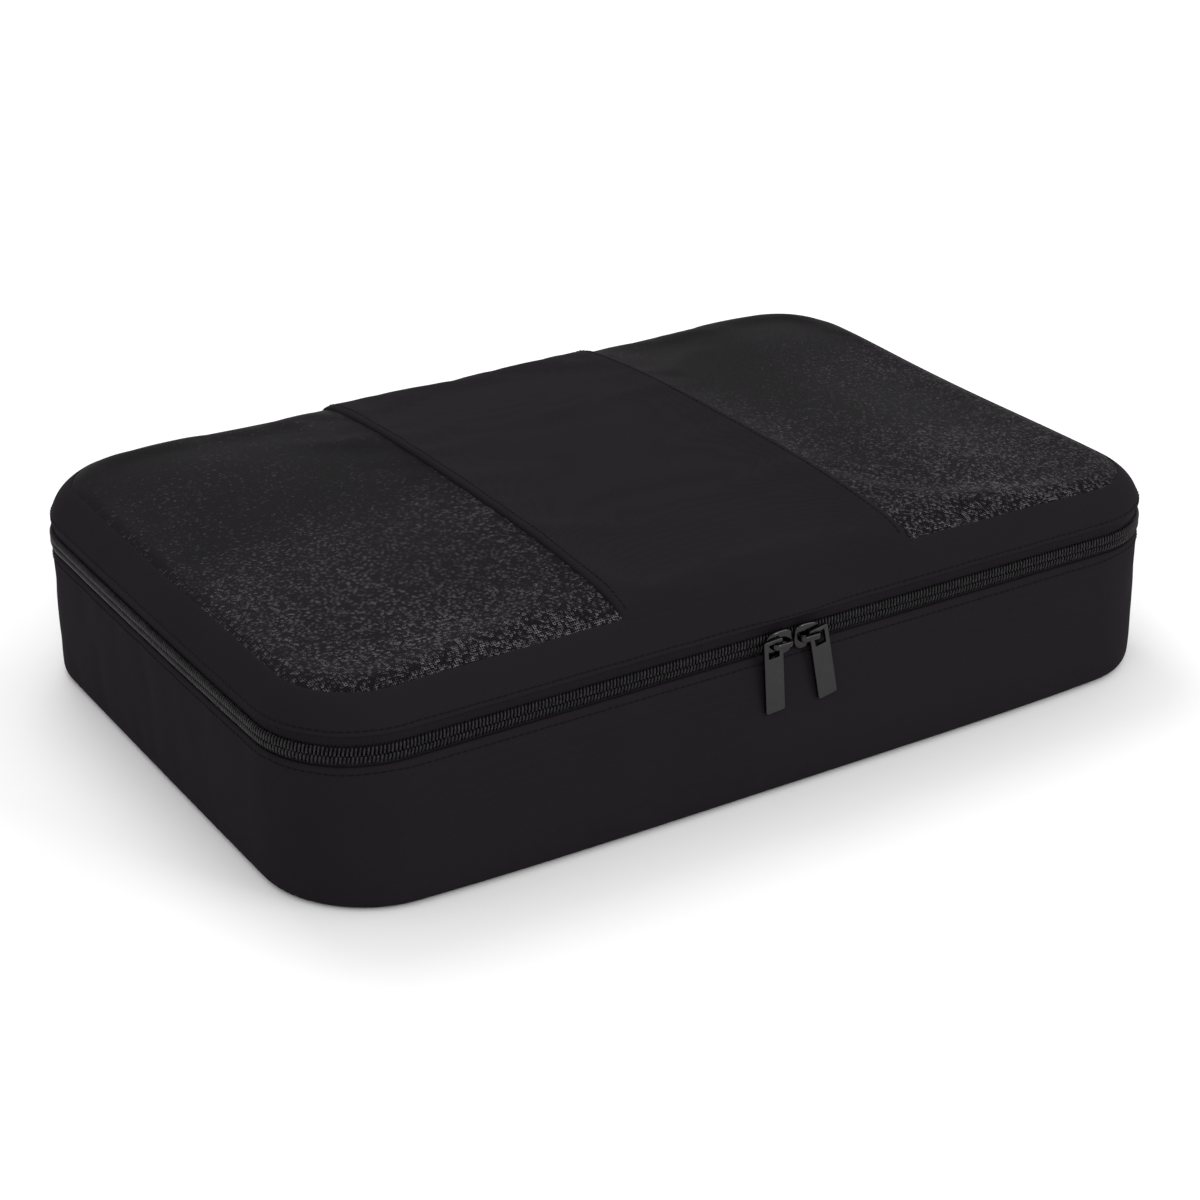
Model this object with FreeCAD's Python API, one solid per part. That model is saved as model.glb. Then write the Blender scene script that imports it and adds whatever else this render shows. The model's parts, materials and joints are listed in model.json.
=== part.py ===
"""Soft-sided packing cube: a fabric tray and a shallow fabric lid with two mesh windows,
closed by a two-way coil zipper that runs round the front, both ends and the rear corners.

Frame: X along the length, -Y the front with the zipper pulls, +Z up.  The origin is the centre of
the outline on the plane that the cube rests on.  All sizes are in millimetres.
"""
import FreeCAD
import Part
import math
import os
from FreeCAD import Vector

# ---- overall sizes -------------------------------------------------------------------------
LENGTH = 445.0            # outside, along X
DEPTH = 292.0             # outside, along Y
CORNER_R = 44.0           # plan radius of the four vertical corners
TRAY_TOP = 62.5           # height of the tray's upper seam, where the zipper starts
ZIP_BAND = 13.0           # height of the zipper band between the tray's and the lid's seams
LID_SIDE = 15.0           # height of the lid's side band
LID_ROLL_R = 12.0         # radius with which the side band leans in
LID_ROLL_START = 5.0      # straight part of the side band, under that radius
SHOULDER_RISE = 6.5       # how far the top panels climb near their edge
SHOULDER_RUN = 24.0       # over this width
CROWN_RISE = 7.5          # and how far they dome up in the middle
BOTTOM_ROLL_R = 6.0       # roll between the walls and the bottom
BACK_PANEL_WIDTH = 380.0  # panel at the rear that carries the fold line of the lid
CENTRE_PANEL_WIDTH = 144.0

# ---- cloth, tape and coil ------------------------------------------------------------------
CLOTH = 1.2               # coated nylon with its backing
MESH_CLOTH = 1.0
CENTRE_RAISE = 0.5        # how far the centre panel stands over the mesh beside it
TAPE = 0.7
TAPE_UNDER = 8.0          # tape hidden behind the tray's cloth
TAPE_OVER = 2.5           # and behind the lid's band
COIL_ROW = 3.5            # height of one row of the coil
COIL_THICK = 2.4
ROW_GAP = 1.0             # channel between the rows, in which a slider's post runs
BINDING = 0.8             # folded seam binding
BINDING_WIDTH = 7.5
BINDING_DROP = 1.5        # how far a binding reaches past the edge of the tape it covers
PANEL_BINDING_WIDTH = 12.0
SEAM_PLAY = 0.1           # between a binding and the curved cloth that it lies on

# ---- sliders, crowns and pull tabs ---------------------------------------------------------
MEETING_X = 3.0           # where the two sliders meet on the front
SLIDER_LENGTH = 13.5
SLIDER_NOSE_WIDTH = 12.0
SLIDER_TAIL_WIDTH = 10.6
NOSE_CORNER_R = 3.3       # the nose's two shoulders are cut off by this much
PLATE_CORNER_R = 1.4
PLATE = 1.3
NOSE_GAP = 0.8            # between the two sliders' noses
RUN_CLEARANCE = 0.25      # between a slider's plates and the chain
LIP = 1.0
LIP_CLEARANCE = 0.3
POST_THICK = 0.7
POST_LENGTH = 4.0
POST_FROM_NOSE = 1.2
CROWN_SPAN = 10.6
CROWN_LEG = 1.4
CROWN_WIDTH = 2.6
CROWN_ROOM = 2.6          # clear height under the crown, for the tab
CROWN_STRAP = 1.2
TAB_WIDTH = 9.6
TAB_THICK = 1.6
TAB_BELOW = 31.0          # from the pivot to the tab's lower end
TAB_BAR = 1.6             # bar of the tab over its slot
SLOT_WIDTH = 5.6
SLOT_ABOVE = 1.65         # slot over and under the pivot
SLOT_BELOW = 5.0
RIGHT_TAB_LEAN = 11.0     # degrees out of plumb, the foot away from the other tab
LEFT_TAB_LEAN = -4.0      # degrees out of plumb, the foot towards the other tab

# ---- worked out ----------------------------------------------------------------------------
HALF_X = LENGTH / 2
HALF_Y = DEPTH / 2
MID_Z = TRAY_TOP + ZIP_BAND / 2
LID_BOTTOM = TRAY_TOP + ZIP_BAND
PANEL_SEAM = LID_BOTTOM + LID_SIDE
BAND_LEAN = LID_ROLL_R - math.sqrt(LID_ROLL_R ** 2 - (LID_SIDE - LID_ROLL_START) ** 2)
HALF_CHAIN = ROW_GAP / 2 + COIL_ROW
TAPE_IN = CLOTH + TAPE            # inset of the tape's inner face
HINGE_GAP = 0.4                   # cut between the two halves of the rear panel
TOP_OF_ALL = PANEL_SEAM + SHOULDER_RISE + CROWN_RISE + 10.0
parts = {}


def outline(inset, z):
    """Closed wire of the cube's rounded outline, moved in by inset, at height z."""
    x, y = HALF_X - inset, HALF_Y - inset
    r = max(CORNER_R - inset, 1.0)
    k = r * (1 - math.sqrt(0.5))
    edges = []
    for sx, sy in ((1, -1), (1, 1), (-1, 1), (-1, -1)):
        along_y = sx * sy > 0
        first = Vector(sx * x, sy * (y - r), z) if along_y else Vector(sx * (x - r), sy * y, z)
        last = Vector(sx * (x - r), sy * y, z) if along_y else Vector(sx * x, sy * (y - r), z)
        middle = Vector(sx * (x - k), sy * (y - k), z)
        edges.append(Part.Arc(first, middle, last).toShape())
    ends = [(e.Vertexes[0].Point, e.Vertexes[-1].Point) for e in edges]
    lines = [Part.makeLine(ends[i][1], ends[(i + 1) % 4][0]) for i in range(4)]
    return Part.Wire([e for pair in zip(edges, lines) for e in pair])


def block(inset, z0, z1):
    return Part.Face(outline(inset, z0)).extrude(Vector(0, 0, z1 - z0))


def ring(inset_out, inset_in, z0, z1):
    """A band that follows the outline, from one inset to the other.  A negative inset stands out."""
    return block(inset_out, z0, z1).cut(block(inset_in, z0 - 1, z1 + 1))


def round_edges_at(shape, z, radius):
    edges = [e for e in shape.Edges if abs(e.BoundBox.ZMin - z) < 1e-6 and abs(e.BoundBox.ZMax - z) < 1e-6]
    return shape.makeFillet(radius, edges)


def box(x0, x1, y0, y1, z0, z1):
    return Part.makeBox(x1 - x0, y1 - y0, z1 - z0, Vector(x0, y0, z0))


def behind(x0, x1, z0=-5.0, z1=200.0):
    """Space that holds the rear wall between two values of X."""
    return box(x0, x1, HALF_Y - CORNER_R, HALF_Y + 5, z0, z1)


def round_the_zip(shape):
    """Leaves out the rear, where there is no zipper."""
    return shape.cut(behind(-BACK_PANEL_WIDTH / 2, BACK_PANEL_WIDTH / 2))


# ---- tray ----------------------------------------------------------------------------------
def tray():
    outside = round_edges_at(block(0, 0, MID_Z), 0, BOTTOM_ROLL_R)
    inside = round_edges_at(block(CLOTH, CLOTH, MID_Z + 1), CLOTH, BOTTOM_ROLL_R - CLOTH)
    wall = outside.cut(inside).cut(block(BOTTOM_ROLL_R, -1, CLOTH + 1))
    half = BACK_PANEL_WIDTH / 2
    over_the_seam = box(-HALF_X, HALF_X, -HALF_Y, HALF_Y, TRAY_TOP, MID_Z)
    parts["side_gusset"] = wall.cut(behind(-half, half)).cut(over_the_seam)
    parts["back_panel_lower"] = wall.common(behind(-half, half, -5, MID_Z - HINGE_GAP / 2))
    parts["bottom_panel"] = block(BOTTOM_ROLL_R, 0, CLOTH)
    parts["bottom_seam_binding"] = ring(BOTTOM_ROLL_R, BOTTOM_ROLL_R + BINDING_WIDTH, CLOTH, CLOTH + BINDING)
    foot = TRAY_TOP - TAPE_UNDER - BINDING_DROP
    parts["gusset_seam_binding"] = round_the_zip(ring(TAPE_IN, TAPE_IN + BINDING, foot, foot + BINDING_WIDTH))
    inset = CLOTH + SEAM_PLAY
    upright = ring(inset, inset + BINDING, BOTTOM_ROLL_R + 2, foot - BINDING)
    for side, name in ((-1, "left"), (1, "right")):
        x = side * half
        strip = behind(x - BINDING_WIDTH / 2, x + BINDING_WIDTH / 2)
        parts["back_seam_binding_" + name] = upright.common(strip)


# ---- zipper chain --------------------------------------------------------------------------
def zipper():
    low, high = MID_Z - ROW_GAP / 2, MID_Z + ROW_GAP / 2
    parts["zipper_tape_lower"] = round_the_zip(ring(CLOTH, TAPE_IN, TRAY_TOP - TAPE_UNDER, low))
    parts["zipper_tape_upper"] = round_the_zip(ring(CLOTH, TAPE_IN, high, LID_BOTTOM + TAPE_OVER))
    parts["zipper_coil_lower"] = round_the_zip(ring(CLOTH - COIL_THICK, CLOTH, low - COIL_ROW, low))
    parts["zipper_coil_upper"] = round_the_zip(ring(CLOTH - COIL_THICK, CLOTH, high, high + COIL_ROW))


# ---- lid -----------------------------------------------------------------------------------
def inset_of(x, y):
    """Distance of a point inside the outline."""
    qx, qy = abs(x) - (HALF_X - CORNER_R), abs(y) - (HALF_Y - CORNER_R)
    return CORNER_R - math.hypot(max(qx, 0), max(qy, 0)) - min(max(qx, qy), 0)


def panel_height(x, y):
    """Underside of the top panels: a shoulder near the seam and a shallow dome inside it."""
    share = min((inset_of(x, y) - BAND_LEAN) / SHOULDER_RUN, 1.0)
    shoulder = SHOULDER_RISE * (1 - (1 - share) ** 3 if share > 0 else 3 * share)
    dome = (1 - abs(x / (HALF_X - BAND_LEAN)) ** 3) * (1 - abs(y / (HALF_Y - BAND_LEAN)) ** 3)
    return PANEL_SEAM + shoulder + CROWN_RISE * dome


def sheet(x0, x1, y0, y1, lift, thick, step=8.0):
    """A sheet of the given thickness that lies lift over the panels' underside."""
    nx = max(int(round((x1 - x0) / step)), 4)
    ny = max(int(round((y1 - y0) / step)), 4)
    grid = []
    for i in range(nx + 1):
        x = x0 + (x1 - x0) * i / nx
        ys = [y0 + (y1 - y0) * j / ny for j in range(ny + 1)]
        grid.append([Vector(x, y, panel_height(x, y) + lift) for y in ys])
    surface = Part.BSplineSurface()
    surface.interpolate(grid)
    return surface.toShape().extrude(Vector(0, 0, thick))


def lid():
    crest = LID_BOTTOM + LID_ROLL_START + LID_ROLL_R
    outside = round_edges_at(block(0, MID_Z, crest), crest, LID_ROLL_R)
    inside = round_edges_at(block(CLOTH, MID_Z - 1, crest - CLOTH), crest - CLOTH, LID_ROLL_R - CLOTH)
    wall = outside.cut(inside).common(box(-HALF_X, HALF_X, -HALF_Y, HALF_Y, MID_Z, PANEL_SEAM))
    half = BACK_PANEL_WIDTH / 2
    side = box(-HALF_X, HALF_X, -HALF_Y, HALF_Y, LID_BOTTOM, PANEL_SEAM)
    parts["lid_band"] = wall.common(side).cut(behind(-half, half))
    parts["back_panel_upper"] = wall.common(behind(-half, half, MID_Z + HINGE_GAP / 2, PANEL_SEAM))
    reach_x, reach_y, mid = HALF_X - BAND_LEAN, HALF_Y - BAND_LEAN, CENTRE_PANEL_WIDTH / 2
    field = block(BAND_LEAN, LID_BOTTOM, TOP_OF_ALL)
    parts["mesh_panel_left"] = sheet(-reach_x, -mid, -reach_y, reach_y, 0, MESH_CLOTH).common(field)
    parts["mesh_panel_right"] = sheet(mid, reach_x, -reach_y, reach_y, 0, MESH_CLOTH).common(field)
    parts["centre_panel"] = sheet(-mid, mid, -reach_y, reach_y, 0, MESH_CLOTH + CENTRE_RAISE).common(field)
    seam_in = BAND_LEAN + 2 * CLOTH
    parts["lid_seam_binding"] = ring(seam_in, seam_in + 2 * BINDING, PANEL_SEAM - BINDING_WIDTH, PANEL_SEAM)
    inner_y = HALF_Y - seam_in - 2 * BINDING - 1.0
    for side_x, name in ((-1, "left"), (1, "right")):
        x = side_x * mid
        width = PANEL_BINDING_WIDTH / 2
        strip = sheet(x - width, x + width, -inner_y, inner_y, -BINDING - SEAM_PLAY, BINDING)
        parts["centre_seam_binding_" + name] = strip
    foot, head = LID_BOTTOM + BINDING, LID_BOTTOM + TAPE_OVER + BINDING
    parts["band_seam_binding"] = round_the_zip(ring(TAPE_IN, TAPE_IN + BINDING, foot, head))


# ---- slider, crown and tab -----------------------------------------------------------------
# These are drawn in the slider's own axes: U from its tail to its nose, V up, W out of the front.
def place(shape, nose, centre_x):
    """Turns a slider's own axes to the front of the cube.  nose is 1 towards +X and -1 towards -X."""
    turned = shape if nose > 0 else shape.mirror(Vector(), Vector(1, 0, 0))
    turned = turned.copy()
    turned.rotate(Vector(), Vector(1, 0, 0), 90)
    turned.translate(Vector(centre_x, 0, MID_Z))
    return turned


def slider_plate(w0, w1):
    """Plate with a broad round nose and a narrower tail."""
    half, nose, tail = SLIDER_LENGTH / 2, SLIDER_NOSE_WIDTH / 2, SLIDER_TAIL_WIDTH / 2
    outline_points = [(-half, -tail), (half - NOSE_CORNER_R, -nose), (half, -nose + NOSE_CORNER_R),
                      (half, nose - NOSE_CORNER_R), (half - NOSE_CORNER_R, nose), (-half, tail)]
    points = [Vector(u, v, w0) for u, v in outline_points]
    plate = Part.Face(Part.makePolygon(points + points[:1])).extrude(Vector(0, 0, w1 - w0))
    upright = [e for e in plate.Edges if e.BoundBox.ZLength > 0.9 * (w1 - w0)]
    return plate.makeFillet(PLATE_CORNER_R, upright)


CHAIN_OUT = HALF_Y - CLOTH + COIL_THICK      # W of the chain's outer face
TAPE_OUT = HALF_Y - CLOTH
PLATE_UNDER = CHAIN_OUT + RUN_CLEARANCE
PLATE_TOP = PLATE_UNDER + PLATE
INNER_TOP = HALF_Y - TAPE_IN - RUN_CLEARANCE
TAIL_LEG_U = -CROWN_SPAN / 2 + CROWN_LEG / 2
TAB_W = PLATE_TOP + (CROWN_ROOM - TAB_THICK) / 2


def slider_body():
    top = slider_plate(PLATE_UNDER, PLATE_TOP)
    rim = [e for e in top.Edges if abs(e.BoundBox.ZMin - PLATE_TOP) < 1e-6]
    top = top.makeFillet(PLATE / 2, rim)
    inner = slider_plate(INNER_TOP - PLATE, INNER_TOP)
    half = SLIDER_LENGTH / 2
    lip_top = -HALF_CHAIN - LIP_CLEARANCE
    lip = box(-half + 2, half - 3, lip_top - LIP, lip_top, TAPE_OUT + RUN_CLEARANCE, PLATE_UNDER + 0.1)
    nose = half - POST_FROM_NOSE
    post = box(nose - POST_LENGTH, nose, -POST_THICK / 2, POST_THICK / 2, INNER_TOP - 0.1, PLATE_UNDER + 0.1)
    return top.fuse([inner, post, lip]).removeSplitter()


def slider_crown():
    """Arch over the top plate: two legs and a strap with rounded shoulders."""
    height = CROWN_ROOM + CROWN_STRAP
    side_u, side_v = CROWN_SPAN / 2, CROWN_WIDTH / 2
    whole = box(-side_u, side_u, -side_v, side_v, PLATE_TOP, PLATE_TOP + height)
    crest = PLATE_TOP + height - 1e-6
    shoulders = [e for e in whole.Edges if e.BoundBox.YLength > 1 and e.BoundBox.ZMin > crest]
    whole = whole.makeFillet(CROWN_STRAP, shoulders)
    room = box(-CROWN_SPAN / 2 + CROWN_LEG, CROWN_SPAN / 2 - CROWN_LEG, -CROWN_WIDTH, CROWN_WIDTH,
               PLATE_TOP - 1, PLATE_TOP + CROWN_ROOM)
    arch = whole.cut(room)
    over_the_room = PLATE_TOP + CROWN_ROOM + 0.1
    outer = [e for e in arch.Edges if e.BoundBox.YLength < 1e-6 and e.BoundBox.ZMax > over_the_room]
    return arch.makeFillet(0.3, outer)


def pull_tab(lean):
    """Flat tab that hangs on the crown's tail leg by its slot, leaning out by lean degrees."""
    top = SLOT_ABOVE + TAB_BAR
    plate = box(-TAB_WIDTH / 2, TAB_WIDTH / 2, -TAB_BELOW, top, 0, TAB_THICK)
    corners = [e for e in plate.Edges if e.BoundBox.ZLength > 1]
    plate = plate.makeFillet(1.0, corners)
    rims = [e for e in plate.Edges if e.BoundBox.ZLength < 1e-6]
    plate = plate.makeFillet(0.35, rims)
    slot = box(-SLOT_WIDTH / 2, SLOT_WIDTH / 2, -SLOT_BELOW, SLOT_ABOVE, -1, TAB_THICK + 1)
    slot = slot.makeFillet(0.6, [e for e in slot.Edges if e.BoundBox.ZLength > 1])
    tab = plate.cut(slot)
    tab.rotate(Vector(), Vector(0, 0, 1), -lean)
    tab.translate(Vector(TAIL_LEG_U, 0, TAB_W))
    return tab


def sliders():
    away = (SLIDER_LENGTH + NOSE_GAP) / 2
    for nose, name, lean in ((1, "left", LEFT_TAB_LEAN), (-1, "right", RIGHT_TAB_LEAN)):
        centre = MEETING_X - nose * away
        parts["slider_body_" + name] = place(slider_body(), nose, centre)
        parts["slider_crown_" + name] = place(slider_crown(), nose, centre)
        parts["pull_tab_" + name] = place(pull_tab(lean), nose, centre)


tray()
zipper()
lid()
sliders()
os.makedirs("parts", exist_ok=True)
for node, shape in parts.items():
    solids = shape.Solids
    if not solids or not shape.isValid():
        raise ValueError("bad solid: " + node)
    out = solids[0] if len(solids) == 1 else Part.makeCompound(solids)
    out.exportStep("parts/" + node + ".step")
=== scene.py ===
import json
import math

import bmesh
import bpy
import numpy as np
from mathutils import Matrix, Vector, noise
from mathutils.bvhtree import BVHTree


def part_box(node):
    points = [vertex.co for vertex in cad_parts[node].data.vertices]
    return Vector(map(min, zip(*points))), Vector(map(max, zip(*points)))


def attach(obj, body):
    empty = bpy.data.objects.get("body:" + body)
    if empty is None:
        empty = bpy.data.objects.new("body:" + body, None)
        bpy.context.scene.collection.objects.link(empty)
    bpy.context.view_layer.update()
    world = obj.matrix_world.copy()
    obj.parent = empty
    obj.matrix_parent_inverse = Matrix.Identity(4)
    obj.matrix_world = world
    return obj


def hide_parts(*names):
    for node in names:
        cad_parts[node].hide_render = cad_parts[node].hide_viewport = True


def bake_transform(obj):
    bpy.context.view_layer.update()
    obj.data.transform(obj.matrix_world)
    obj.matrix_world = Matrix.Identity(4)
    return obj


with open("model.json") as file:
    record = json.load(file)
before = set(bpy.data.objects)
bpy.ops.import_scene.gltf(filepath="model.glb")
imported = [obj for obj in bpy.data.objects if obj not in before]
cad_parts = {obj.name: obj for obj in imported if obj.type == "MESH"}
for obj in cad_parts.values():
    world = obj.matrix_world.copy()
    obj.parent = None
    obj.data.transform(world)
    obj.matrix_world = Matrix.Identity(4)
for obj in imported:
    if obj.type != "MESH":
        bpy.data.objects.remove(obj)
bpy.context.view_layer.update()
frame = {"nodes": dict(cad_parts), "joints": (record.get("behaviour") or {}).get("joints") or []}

MM = 0.001                                              # the frame is in metres

# ---- the outline ---------------------------------------------------------------------------
# Every sewn piece follows one rounded outline.  The cloth is soft and the cube is full, so the
# walls bow out between the corners, most of all low down on the long sides.
gusset_low, gusset_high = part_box("side_gusset")
HALF_X, HALF_Y = gusset_high.x, -gusset_low.y
CORNER_R = 44 * MM
RUN_X, RUN_Y = HALF_X - CORNER_R, HALF_Y - CORNER_R     # half of each straight stretch
QUARTER = CORNER_R * math.pi / 2
TRAY_TOP = gusset_high.z
hinge_line = next(j for j in frame["joints"] if j["name"] == "lid_hinge")["pos_m"]
ZIP_MID = hinge_line[2]
LID_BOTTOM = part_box("lid_band")[0].z
REAR_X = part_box("back_panel_lower")[1].x                # the zipper ends here, in the rear corners
ROUND = RUN_X + QUARTER + 2 * RUN_Y                     # from the front's middle to a rear corner
ZIP_END = ROUND + CORNER_R * math.acos((REAR_X - RUN_X) / CORNER_R)
HALF_ROUND = ROUND + QUARTER + RUN_X
END_BOW = 1.5 * MM
FRONT_BOW = 7.5 * MM
REAR_BOW = 5.0 * MM
BELLY_HEIGHT, BELLY_REACH = 8 * MM, 25 * MM             # the long sides are fullest at this height
END_RISE = 35 * MM                                      # the ends reach their full bow at this height


def at(s, inset):
    """Point and outward direction of the outline, s metres round from the middle of the front."""
    side, d = math.copysign(1, s), abs(s)
    if d < RUN_X:
        x, y, nx, ny = d, -HALF_Y, 0.0, -1.0
    elif d < RUN_X + QUARTER:
        turn = (d - RUN_X) / CORNER_R
        nx, ny = math.sin(turn), -math.cos(turn)
        x, y = RUN_X + CORNER_R * nx, -RUN_Y + CORNER_R * ny
    elif d < ROUND:
        x, y, nx, ny = HALF_X, d - RUN_X - QUARTER - RUN_Y, 1.0, 0.0
    elif d < ROUND + QUARTER:
        turn = (d - ROUND) / CORNER_R
        nx, ny = math.cos(turn), math.sin(turn)
        x, y = RUN_X + CORNER_R * nx, RUN_Y + CORNER_R * ny
    else:
        x, y, nx, ny = RUN_X - (d - ROUND - QUARTER), HALF_Y, 0.0, 1.0
    return Vector((side * (x - inset * nx), y - inset * ny, 0)), Vector((side * nx, ny, 0))


def hump(v, centre, width):
    """A smooth bump, 1 at the centre and nearly 0 from twice the width on."""
    return math.exp(-((v - centre) / width) ** 2)


def soften(p):
    """Moves a point of the true outline to where the filled cloth carries it."""
    x, y, z = p
    across, along = min(abs(x) / HALF_X, 1.1), min(abs(y) / HALF_Y, 1.1)
    end = END_BOW * max(1 - along ** 2.2, 0) * (0.3 + 0.7 * min(z / END_RISE, 1)) * across ** 5
    belly = hump(z, BELLY_HEIGHT, BELLY_REACH)
    long_side = max(1 - across ** 4, 0) * belly * along ** 5
    x += math.copysign(end, x)
    y += math.copysign(long_side, y) * (FRONT_BOW if y < 0 else REAR_BOW)
    return Vector((x, y, z))


def spread(start, stop, step):
    """Even stations from start to stop, about step apart."""
    count = max(int(round(abs(stop - start) / step)), 1)
    return [start + (stop - start) * i / count for i in range(count + 1)]


# ---- cloth of the tray and the lid -----------------------------------------------------------
# Charcoal nylon in a fine plain weave with a coated back.  It is matt and nearly black.  The real
# threads are finer; they are drawn 0.42 mm apart so that the weave can show close up.
def linear(code):
    """sRGB hex to linear colour."""
    values = [int(code[i:i + 2], 16) / 255 for i in (1, 3, 5)]
    return [v / 12.92 if v <= 0.04045 else ((v + 0.055) / 1.055) ** 2.4 for v in values] + [1.0]


def add_node(material, kind, links=(), **settings):
    """Adds a node.  settings are its properties, or its inputs by name with _ for a space."""
    node = material.node_tree.nodes.new("ShaderNode" + kind)
    for key, value in settings.items():
        socket = key.replace("_", " ")
        if socket in node.inputs:
            node.inputs[socket].default_value = value
        else:
            setattr(node, key, value)
    for source, target in links:
        material.node_tree.links.new(source, node.inputs[target])
    return node


def new_material(name, **settings):
    material = bpy.data.materials.new(name)
    material.use_nodes = True
    shader = material.node_tree.nodes["Principled BSDF"]
    for key, value in settings.items():
        shader.inputs[key.replace("_", " ")].default_value = value
    return material, shader


SLUB = 2.381 * MM                   # length of the thick and thin places in a thread
CLOUD = 62.5 * MM                   # size of the patches that took the dye a little differently


def woven(name, dark, light, thread, roughness, sheen, relief):
    """Plain weave.  thread is its spacing; the colour and the relief follow the over and under."""
    material, shader = new_material(name, Roughness=roughness, Sheen_Weight=sheen, Sheen_Roughness=0.45,
                                    Specular_IOR_Level=0.02)
    shader.inputs["Sheen Tint"].default_value = linear("#b9b4bb")
    place = add_node(material, "TexCoord").outputs["Object"]
    bands = []
    for axis in ("X", "Y", "Z"):    # the texture's bands lie pi / 10 / Scale apart
        wave = add_node(material, "TexWave", [(place, "Vector")], bands_direction=axis, wave_type="BANDS",
                        Scale=math.pi / 10 / thread, Distortion=2.2, Detail=1.0)
        bands.append(wave.outputs["Fac"])
    first = add_node(material, "Math", [(bands[0], 0), (bands[1], 1)], operation="MULTIPLY").outputs[0]
    weave = add_node(material, "Math", [(first, 0), (bands[2], 1)], operation="ADD").outputs[0]
    slubs = add_node(material, "TexNoise", [(place, "Vector")], Scale=1 / SLUB, Detail=3.0).outputs["Fac"]
    clouds = add_node(material, "TexNoise", [(place, "Vector")], Scale=1 / CLOUD, Detail=2.0).outputs["Fac"]
    mixed = add_node(material, "Math", [(weave, 0), (slubs, 1)], operation="MULTIPLY").outputs[0]
    tone = add_node(material, "Math", [(mixed, 0), (clouds, 1)], operation="ADD").outputs[0]
    ramp = add_node(material, "ValToRGB", [(tone, "Fac")])
    ramp.color_ramp.elements[0].position, ramp.color_ramp.elements[1].position = 0.4, 1.0
    ramp.color_ramp.elements[0].color = linear(dark)
    ramp.color_ramp.elements[1].color = linear(light)
    material.node_tree.links.new(ramp.outputs["Color"], shader.inputs["Base Color"])
    bump = add_node(material, "Bump", [(mixed, "Height")], Strength=0.3, Distance=relief)
    material.node_tree.links.new(bump.outputs["Normal"], shader.inputs["Normal"])
    return material


nylon = woven("charcoal nylon", "#1a171a", "#1d1a1d", thread=0.42 * MM, roughness=0.8, sheen=0.0,
              relief=0.006 * MM)


def finish_piece(obj, body, slot, material, *replaced):
    """Gives a piece its material and body, and hides the nodes it stands for.  slot is not used."""
    obj.data.materials.clear()
    obj.data.materials.append(material)
    if body:
        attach(obj, body)
    if replaced:
        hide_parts(*replaced)
    return obj


# ---- side gusset -----------------------------------------------------------------------------
# One strip of nylon round the front and both ends, turned under in a soft roll to the bottom
# seam.  Its upper edge is folded in and sewn over the zipper tape.
CLOTH = 1.2 * MM
ROLL = 5 * MM
FOLD = 0.9 * MM
EDGE_RAISE = 1.6 * MM               # the folded edges lie high on the tapes
TRAY_EDGE = TRAY_TOP + EDGE_RAISE
SETTLE_FRAMES = 20


def make_object(name, points, faces):
    mesh = bpy.data.meshes.new(name)
    mesh.from_pydata([tuple(p) for p in points], [], faces)
    mesh.update()
    mesh.shade_smooth()
    obj = bpy.data.objects.new(name, mesh)
    bpy.context.scene.collection.objects.link(obj)
    return obj


def make_cloth(name, rows, wrap=False):
    """A sheet through rows of points.  With wrap, the last row joins the first."""
    wide = len(rows[0])
    points = [p for row in rows for p in row]
    last = len(rows) if wrap else len(rows) - 1
    faces = []
    for i in range(last):
        j = (i + 1) % len(rows)
        for k in range(wide - 1):
            faces.append((i * wide + k, j * wide + k, j * wide + k + 1, i * wide + k + 1))
    return make_object(name, points, faces)


def freeze(obj):
    """Applies the modifiers."""
    bpy.context.view_layer.update()
    graph = bpy.context.evaluated_depsgraph_get()
    mesh = bpy.data.meshes.new_from_object(obj.evaluated_get(graph))
    obj.modifiers.clear()
    obj.data = mesh
    mesh.shade_smooth()
    return obj


def thicken(obj, thickness):
    """Gives a sheet its thickness, towards the inside of the cube, and rounds its edges."""
    solid = obj.modifiers.new("thickness", "SOLIDIFY")
    solid.thickness = thickness
    solid.offset = -1
    rounded = obj.modifiers.new("round", "SUBSURF")
    rounded.levels = rounded.render_levels = 1
    return freeze(obj)


def fill_out(obj, pinned, pressure, cap, looseness):
    """Cloth simulation: the clothes inside push the fabric out between its pinned seams.

    No point moves further than cap, and looseness is the share by which the cloth is cut too large.
    """
    group = obj.vertex_groups.new(name="seams")
    group.add(pinned, 1.0, "REPLACE")
    start = np.array([v.co for v in obj.data.vertices])
    cloth = obj.modifiers.new("cloth", "CLOTH")
    cloth.settings.quality = 7
    cloth.settings.mass = 0.25
    cloth.settings.tension_stiffness = cloth.settings.compression_stiffness = 25
    cloth.settings.shear_stiffness = 12
    cloth.settings.bending_stiffness = 0.8
    cloth.settings.vertex_group_mass = "seams"
    cloth.settings.shrink_min = cloth.settings.shrink_max = -looseness
    cloth.settings.use_pressure = True
    cloth.settings.uniform_pressure_force = pressure
    cloth.settings.effector_weights.gravity = 0
    cloth.point_cache.frame_start, cloth.point_cache.frame_end = 1, SETTLE_FRAMES
    for moment in range(1, SETTLE_FRAMES + 1):
        bpy.context.scene.frame_set(moment)
    graph = bpy.context.evaluated_depsgraph_get()
    moved = np.array([v.co for v in obj.evaluated_get(graph).data.vertices]) - start
    obj.modifiers.clear()
    bpy.context.scene.frame_set(1)
    length = np.linalg.norm(moved, axis=1, keepdims=True)
    moved *= np.tanh(length / cap) * cap / np.maximum(length, 1e-9)
    for vertex, shift in zip(obj.data.vertices, moved):
        vertex.co += Vector(shift)
    return obj


ROLL_POINTS, WALL_STEPS, FOLD_POINTS = 7, 11, 3


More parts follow.
